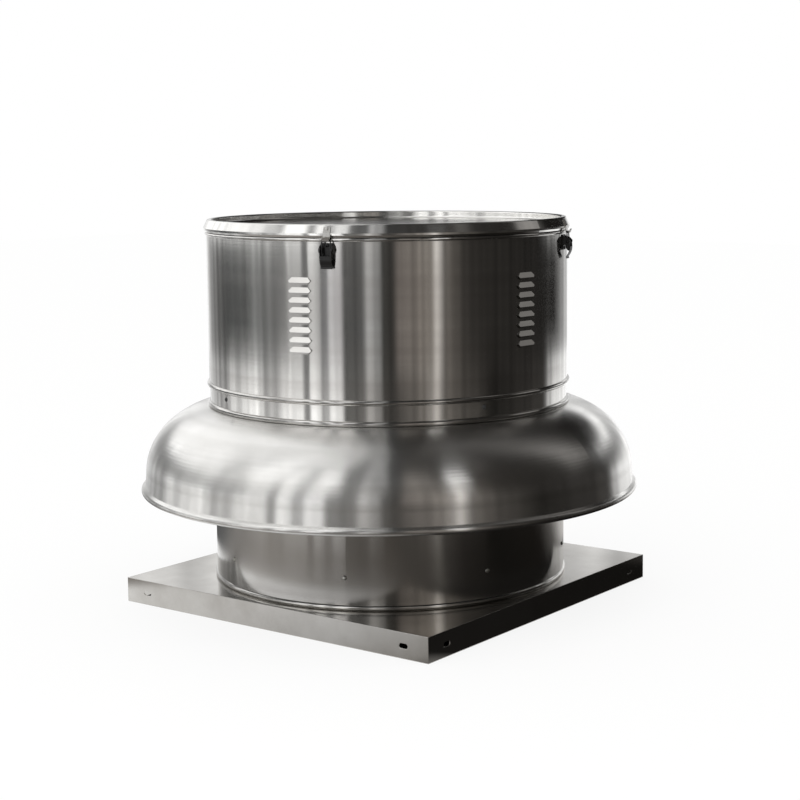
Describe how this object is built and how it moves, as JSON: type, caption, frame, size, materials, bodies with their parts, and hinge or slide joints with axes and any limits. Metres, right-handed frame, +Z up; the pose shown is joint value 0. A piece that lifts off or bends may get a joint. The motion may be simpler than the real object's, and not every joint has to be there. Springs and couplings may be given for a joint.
{
  "type": "centrifugal roof fan",
  "caption": "Direct-drive centrifugal roof exhaust fan: square curb cap, spun drum, bell with downward outlet, louvred motor housing and latched lid over a backward-curved impeller.",
  "frame": {"origin": "middle of the square opening at the curb cap's lower edge, on the shaft's axis", "axes": "+Z up along the shaft, X and Y along the sides of the square curb cap, motor terminal box towards +X"},
  "size_m": [0.972, 0.972, 0.7412],
  "materials": {
    "satin_sheet": "satin rolled stainless sheet",
    "spun_sheet": "bright spun stainless sheet with fine circular lines",
    "fastener": "plain zinc-plated steel",
    "plain_steel": "plain galvanised steel",
    "dark_screw": "dark coated steel",
    "seal_rubber": "matte foam rubber",
    "latch_black": "black semi-gloss coating",
    "bail_wire": "black coated wire",
    "keeper_steel": "bright pressed steel",
    "motor_paint": "blue-grey motor paint",
    "cowl_paint": "dark blue-grey motor paint",
    "core_steel": "stacked electrical steel",
    "copper_windings": "varnished copper wire",
    "bearing_steel": "ground bearing steel",
    "gland_plastic": "black polyamide",
    "shaft_steel": "turned steel",
    "fan_plastic": "black moulded plastic",
    "hub_iron": "machined cast iron",
    "impeller_sheet": "mill-finish galvanised sheet"
  },
  "bodies": {
    "casing": {"curb_cap": "satin_sheet", "base_drum": "spun_sheet", "foot_rivets": "fastener", "inlet_cone": "spun_sheet", "cone_screws": "fastener", "struts": "plain_steel", "strut_screws": "fastener", "strut_bolts": "fastener", "bell": "spun_sheet", "motor_plate": "plain_steel", "motor_housing": "spun_sheet", "collar_screws": "dark_screw", "lid": "spun_sheet", "lid_gasket": "seal_rubber", "latch_bases": "latch_black", "latch_rivets": "latch_black", "lever_pins": "latch_black", "keepers": "keeper_steel", "motor_flange": "motor_paint", "motor_frame": "motor_paint", "stator_core": "core_steel", "stator_windings": "copper_windings", "end_shield": "motor_paint", "fan_cowl": "cowl_paint", "cowl_screws": "fastener", "motor_bolts": "fastener", "bearings": "bearing_steel", "terminal_box": "motor_paint", "terminal_cover": "motor_paint", "terminal_screws": "fastener", "cable_gland": "gland_plastic"},
    "rotor": {"shaft": "shaft_steel", "rotor_core": "core_steel", "cooling_fan": "fan_plastic", "impeller_hub": "hub_iron", "shaft_key": "shaft_steel", "hub_screw": "fastener", "hub_bolts": "fastener", "impeller_back": "impeller_sheet", "impeller_blades": "impeller_sheet", "impeller_shroud": "impeller_sheet"},
    "lever_1": {"lever_1": "latch_black"},
    "bail_1": {"bail_1": "bail_wire"},
    "lever_2": {"lever_2": "latch_black"},
    "bail_2": {"bail_2": "bail_wire"},
    "lever_3": {"lever_3": "latch_black"},
    "bail_3": {"bail_3": "bail_wire"},
    "lever_4": {"lever_4": "latch_black"},
    "bail_4": {"bail_4": "bail_wire"}
  },
  "joints": [
    {"name": "rotor_spin", "type": "hinge", "parent": "casing", "child": "rotor", "pos_m": [0, 0, 0.45], "axis": [0, 0, 1], "continuous": true},
    {"name": "lever_1_swing", "type": "hinge", "parent": "casing", "child": "lever_1", "pos_m": [0.12784, -0.33654, 0.69621], "axis": [-0.9348, -0.3551, 0], "range_deg": [0, 90]},
    {"name": "bail_1_swing", "type": "hinge", "parent": "lever_1", "child": "bail_1", "pos_m": [0.12784, -0.33654, 0.68621], "axis": [-0.9348, -0.3551, 0], "range_deg": [-75, 0]},
    {"name": "lever_2_swing", "type": "hinge", "parent": "casing", "child": "lever_2", "pos_m": [0.33654, 0.12784, 0.69621], "axis": [0.3551, -0.9348, 0], "range_deg": [0, 90]},
    {"name": "bail_2_swing", "type": "hinge", "parent": "lever_2", "child": "bail_2", "pos_m": [0.33654, 0.12784, 0.68621], "axis": [0.3551, -0.9348, 0], "range_deg": [-75, 0]},
    {"name": "lever_3_swing", "type": "hinge", "parent": "casing", "child": "lever_3", "pos_m": [-0.12784, 0.33654, 0.69621], "axis": [0.9348, 0.3551, 0], "range_deg": [0, 90]},
    {"name": "bail_3_swing", "type": "hinge", "parent": "lever_3", "child": "bail_3", "pos_m": [-0.12784, 0.33654, 0.68621], "axis": [0.9348, 0.3551, 0], "range_deg": [-75, 0]},
    {"name": "lever_4_swing", "type": "hinge", "parent": "casing", "child": "lever_4", "pos_m": [-0.33654, -0.12784, 0.69621], "axis": [-0.3551, 0.9348, 0], "range_deg": [0, 90]},
    {"name": "bail_4_swing", "type": "hinge", "parent": "lever_4", "child": "bail_4", "pos_m": [-0.33654, -0.12784, 0.68621], "axis": [-0.3551, 0.9348, 0], "range_deg": [-75, 0]}
  ],
  "couplings": [
    {"joint": "bail_1_swing", "follows": "lever_1_swing", "ratio": -0.8},
    {"joint": "bail_2_swing", "follows": "lever_2_swing", "ratio": -0.8},
    {"joint": "bail_3_swing", "follows": "lever_3_swing", "ratio": -0.8},
    {"joint": "bail_4_swing", "follows": "lever_4_swing", "ratio": -0.8}
  ]
}
